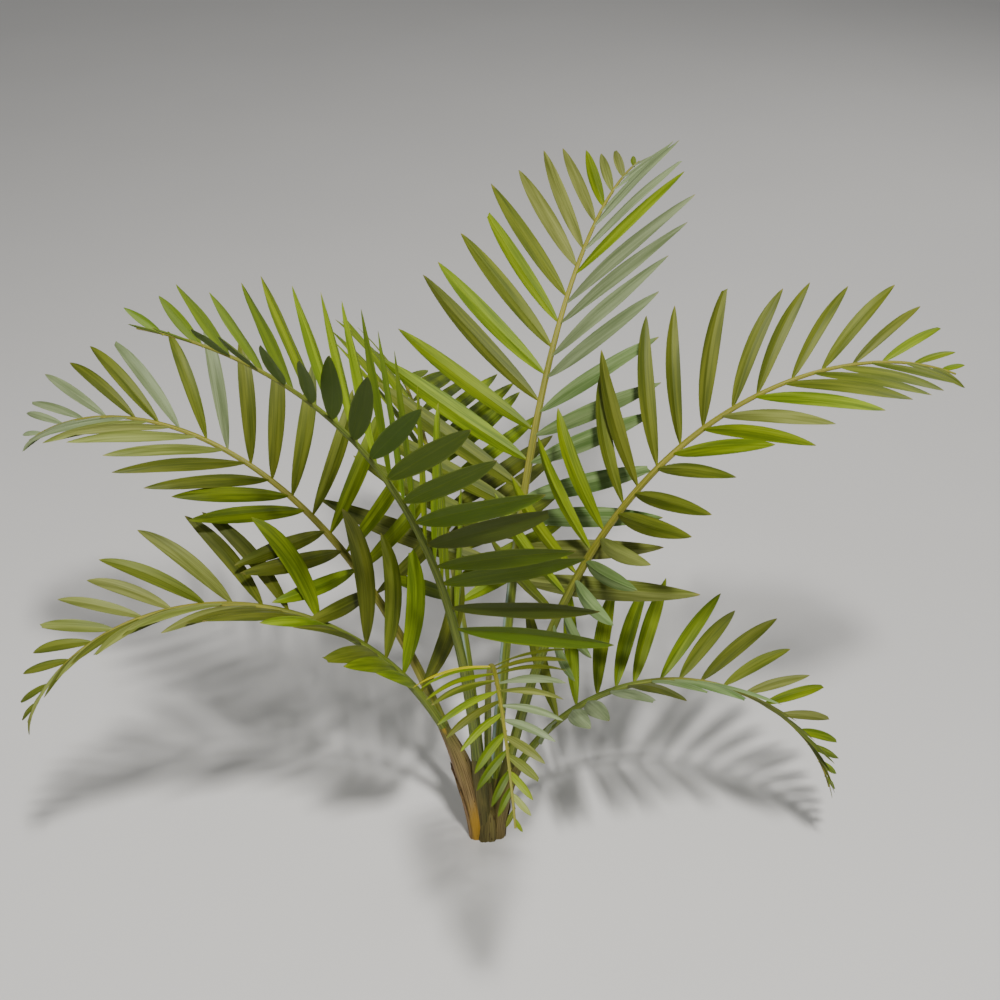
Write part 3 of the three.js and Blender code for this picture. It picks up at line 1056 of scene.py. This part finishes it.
draws = draws_from(DRAW_SEED)
leaflets = [leaflets_of(frond, draws) for frond in FRONDS]
print("leaflets:", sum(len(own) for own in leaflets))

# %% [markdown]
# ## The shape of one leaflet
# A leaflet is a lance-shaped blade, pinched to a short thick neck at the rib and folded along
# its middle vein like a low roof. It bends down along its length, twists a little, and its edges
# ripple. About one in seven ends blunt, as if bitten off, and the others run to a point. A flat
# card cut to its outline would be lighter, but it would show no fold, neck or edge. So it is a
# closed skin about half a millimetre thick: each ring goes over the top from edge to edge and
# back underneath.

# %% Leaflet habit
# The least and most of each: width against the rule's, fold and twist in degrees, height of the
# ripples against half the width, their start in radians, and sway against the length.
HABIT_SPANS = {
    "width": (0.92, 1.1), "fold": (8, 20), "twist": (-14, 14),
    "ripple": (0.02, 0.09), "phase": (0, 6.28), "sway": (-0.03, 0.03)}
BLUNT_SHARE = 0.15

Habit = namedtuple("Habit", [*HABIT_SPANS, "blunt", "tone"])


def habit_of(draws):
    """How one leaflet differs from the others."""
    strays = [draws.uniform(*span) for span in HABIT_SPANS.values()]
    return Habit(*strays, blunt=draws.random() < BLUNT_SHARE, tone=draws.random())


# %% Middle vein
LEAFLET_SINK = 0.004


def leaflet_start(rib, leaflet, turn):
    """Where a leaflet leaves its rib, the way the rib runs, its own way, and out of the blade."""
    root, along, left, up = rib.at(leaflet.s)
    roll = math.radians(rib.frond.roll)
    side = (left * math.cos(roll) + up * math.sin(roll)) * leaflet.side
    out = up * math.cos(roll) - left * math.sin(roll)
    opened = math.radians(leaflet.open)
    lift = math.radians(leaflet.lift + turn)
    start = (along * math.cos(opened) + side * math.cos(lift) * math.sin(opened)
             + out * math.sin(lift) * math.sin(opened))
    return root, along, start, out


def middle_vein(rib, leaflet, habit, turn, t):
    """The middle vein at shares t: its points, and the ways along, across and out of the face."""
    root, along, start, out = leaflet_start(rib, leaflet, turn)
    length = leaflet.length
    droop = math.radians(leaflet.droop)
    bend = droop * t
    spine = (root + start * (length * np.sin(bend) / droop - LEAFLET_SINK)
             - out * length * (1 - np.cos(bend)) / droop)
    direction = unit(start * np.cos(bend) - out * np.sin(bend))
    middle = start * math.cos(droop / 2) - out * math.sin(droop / 2)
    across = unit(np.cross(direction, np.cross(along, middle) * leaflet.side))
    face = np.cross(across, direction)
    twist = math.radians(habit.twist) * t
    across, face = (across * np.cos(twist) + face * np.sin(twist),
                    face * np.cos(twist) - across * np.sin(twist))
    return spine + across * habit.sway * length * t**2, direction, across, face


# %% Leaflet blade
LEAFLET_STATIONS = 20
LEAFLET_TOP = np.array((-1, -0.82, -0.58, -0.32, -0.12, -0.05, 0, 0.05, 0.12, 0.32, 0.58, 0.82, 1))
LEAFLET_ROUND = np.concatenate([LEAFLET_TOP, LEAFLET_TOP[-2:0:-1]])
LEAFLET_UPPER = np.arange(len(LEAFLET_ROUND)) < len(LEAFLET_TOP)
LANCE_ROOT = 0.75
LANCE_TIP = 0.8
NECK_RADIUS = 0.0017
NECK_SHARE = 0.035
BLADE_THICKNESS = 0.0003
LEAST_HALF_WIDTH = 0.0002
VEIN_HEIGHT = 0.0005
VEIN_WIDTH = 0.07
RIPPLES = 9
BLUNT_END = 0.94
BLUNT_SLANT = 0.8


def lance(t):
    """The outline of a blade: 0 at both ends and 1 where it is widest."""
    widest = LANCE_ROOT / (LANCE_ROOT + LANCE_TIP)
    peak = widest**LANCE_ROOT * (1 - widest) ** LANCE_TIP
    return t**LANCE_ROOT * (1 - t) ** LANCE_TIP / peak


def blade_rise(habit, t, half, neck, margin):
    """How far each corner stands out from the flat of the blade."""
    x = LEAFLET_ROUND
    over = np.where(LEAFLET_UPPER, 1, -1)
    thick = BLADE_THICKNESS + margin + NECK_RADIUS * neck
    skin = over * thick * np.sqrt(np.clip(1 - x**2, 0, 1))
    vein = over * VEIN_HEIGHT * hump(x, 0, VEIN_WIDTH) * (1 - t)
    fold = np.abs(x) * half * math.tan(math.radians(habit.fold)) * (1 - neck)
    ripple = habit.ripple * half * x**2 * np.sin(RIPPLES * t + habit.phase + x)
    return skin + vein - fold + ripple


def leaflet_rings(rib, leaflet, habit, turn=0, margin=0):
    """The corners of a leaflet, how far across it each lies, and the shares along it."""
    end = BLUNT_END if habit.blunt else 1
    t = end * (0.5 - 0.5 * np.cos(np.linspace(0, math.pi, LEAFLET_STATIONS)))[:, None]
    spine, direction, across, face = middle_vein(rib, leaflet, habit, turn, t)
    neck = np.exp(-t / NECK_SHARE)
    blade = leaflet.width / 2 * habit.width * lance(t) * (1 - neck)
    half = np.maximum(blade, NECK_RADIUS * neck) + LEAST_HALF_WIDTH + margin
    width = half * LEAFLET_ROUND
    rise = blade_rise(habit, t, half, neck, margin)
    rings = spine[:, None] + across[:, None] * width[..., None] + face[:, None] * rise[..., None]
    if habit.blunt:
        rings[-1] += direction[-1] * (BLUNT_SLANT * width[-1])[:, None]
    return rings, width, t


# %% [markdown]
# ## Growing the leaflets
# Copies of one leaflet would be quicker to place, but each is grown on its own, so no two bend,
# twist and end alike. One that would meet another frond is turned by a few degrees, or left out
# if there is no room for it, as in the solids. A search tree of each finished frond answers
# whether two skins meet. The colours of a side are dealt out from the stalk to the tip, with a
# little straying.

# %% Colour and room
STRAY_COLOUR = 0.7
ROOM_TURNS = (0, 4, -4, 8, -8, 12, -12)
ROOM_MARGIN = 0.0015


def dealt_colour(frond, leaflet, stray):
    """The colour of a leaflet, by its side and its place on the blade."""
    deal = frond.left_leaf if leaflet.side > 0 else frond.right_leaf
    pick = int(leaflet.u * len(deal) + stray.uniform(-STRAY_COLOUR, STRAY_COLOUR))
    return deal[min(max(pick, 0), len(deal) - 1)]


def turn_with_room(rib, leaflet, habit, others):
    """The first turn that clears the other fronds, or None if no turn does."""
    for turn in ROOM_TURNS:
        rings = leaflet_rings(rib, leaflet, habit, turn, ROOM_MARGIN)[0]
        tree = skin_tree(rings, ring_faces(*rings.shape[:2]))
        if not any(tree.overlap(other) for other in others):
            return turn
    return None


# %% Leaflets
# Steps in the grain that keep the streaks of any two leaflets apart.
TONE_GRAIN = 3
SIDE_GRAIN = 10
BLADE_GRAIN = 50
FROND_GRAIN = 100


def leaf_grain(number, leaflet, habit, width, t):
    """Grain along and across a leaflet."""
    grain = np.zeros((*width.shape, 3))
    grain[..., 0] = t * leaflet.length + TONE_GRAIN * habit.tone
    grain[..., 1] = width
    grain[..., 2] = BLADE_GRAIN * leaflet.u + SIDE_GRAIN * leaflet.side + FROND_GRAIN * number
    return grain


def grow_leaflets(number, grown):
    """The leaflets of one frond in one growth, and the names of their colours."""
    rib = ribs[number]
    growth = Growth()
    stray = random.Random(number)
    others = [stem_tree, *stalk_trees[:number], *stalk_trees[number + 1:], *grown]
    colours = sorted(set(rib.frond.left_leaf + rib.frond.right_leaf))
    for leaflet in leaflets[number]:
        habit = habit_of(stray)
        colour = dealt_colour(rib.frond, leaflet, stray)
        turn = turn_with_room(rib, leaflet, habit, others)
        if turn is None:
            continue
        rings, width, t = leaflet_rings(rib, leaflet, habit, turn)
        growth.add(
            rings, finish=colours.index(colour),
            grain=leaf_grain(number, leaflet, habit, width, t),
            reach=t, across=width, upper=LEAFLET_UPPER, tone=habit.tone)
    return growth, colours


grown = []
for number, rib in enumerate(ribs):
    growth, colours = grow_leaflets(number, grown)
    finishes = [leaf_finishes[leaf_names.index(colour)] for colour in colours]
    growth.piece("leaflets_of_" + rib.frond.name, "frond", finishes, nodes_of(rib))
    grown.append(growth.tree())

# %% [markdown]
# ## The floor
# A plain pale floor takes the shadows. It could curve up behind the palm as a backdrop, but the
# camera looks down, so a wide flat sheet is enough. It is a stage, not part of the palm.

# %% Floor
FLOOR_HALF = 20
FLOOR_COLOURS = (paint(206, 203, 198), paint(212, 209, 204))
FLOOR_CLOUDS = 1.5


def floor_finish():
    """A matt, nearly even pale grey."""
    floor = Finish("floor", Roughness=0.85)
    place = floor.node("NewGeometry", {}, {}, "Position")
    cloud = floor.node("TexNoise", {}, {"Vector": place, "Scale": FLOOR_CLOUDS, "Detail": 2})
    floor.colour(floor.mix(cloud, *FLOOR_COLOURS))
    return floor.material


corners = [(x * FLOOR_HALF, y * FLOOR_HALF, 0) for x, y in ((-1, -1), (1, -1), (1, 1), (-1, 1))]
floor_mesh = bpy.data.meshes.new("floor")
floor_mesh.from_pydata(corners, [], [(0, 1, 2, 3)])
floor_mesh.materials.append(floor_finish())
floor = bpy.data.objects.new("floor", floor_mesh)
bpy.context.collection.objects.link(floor)
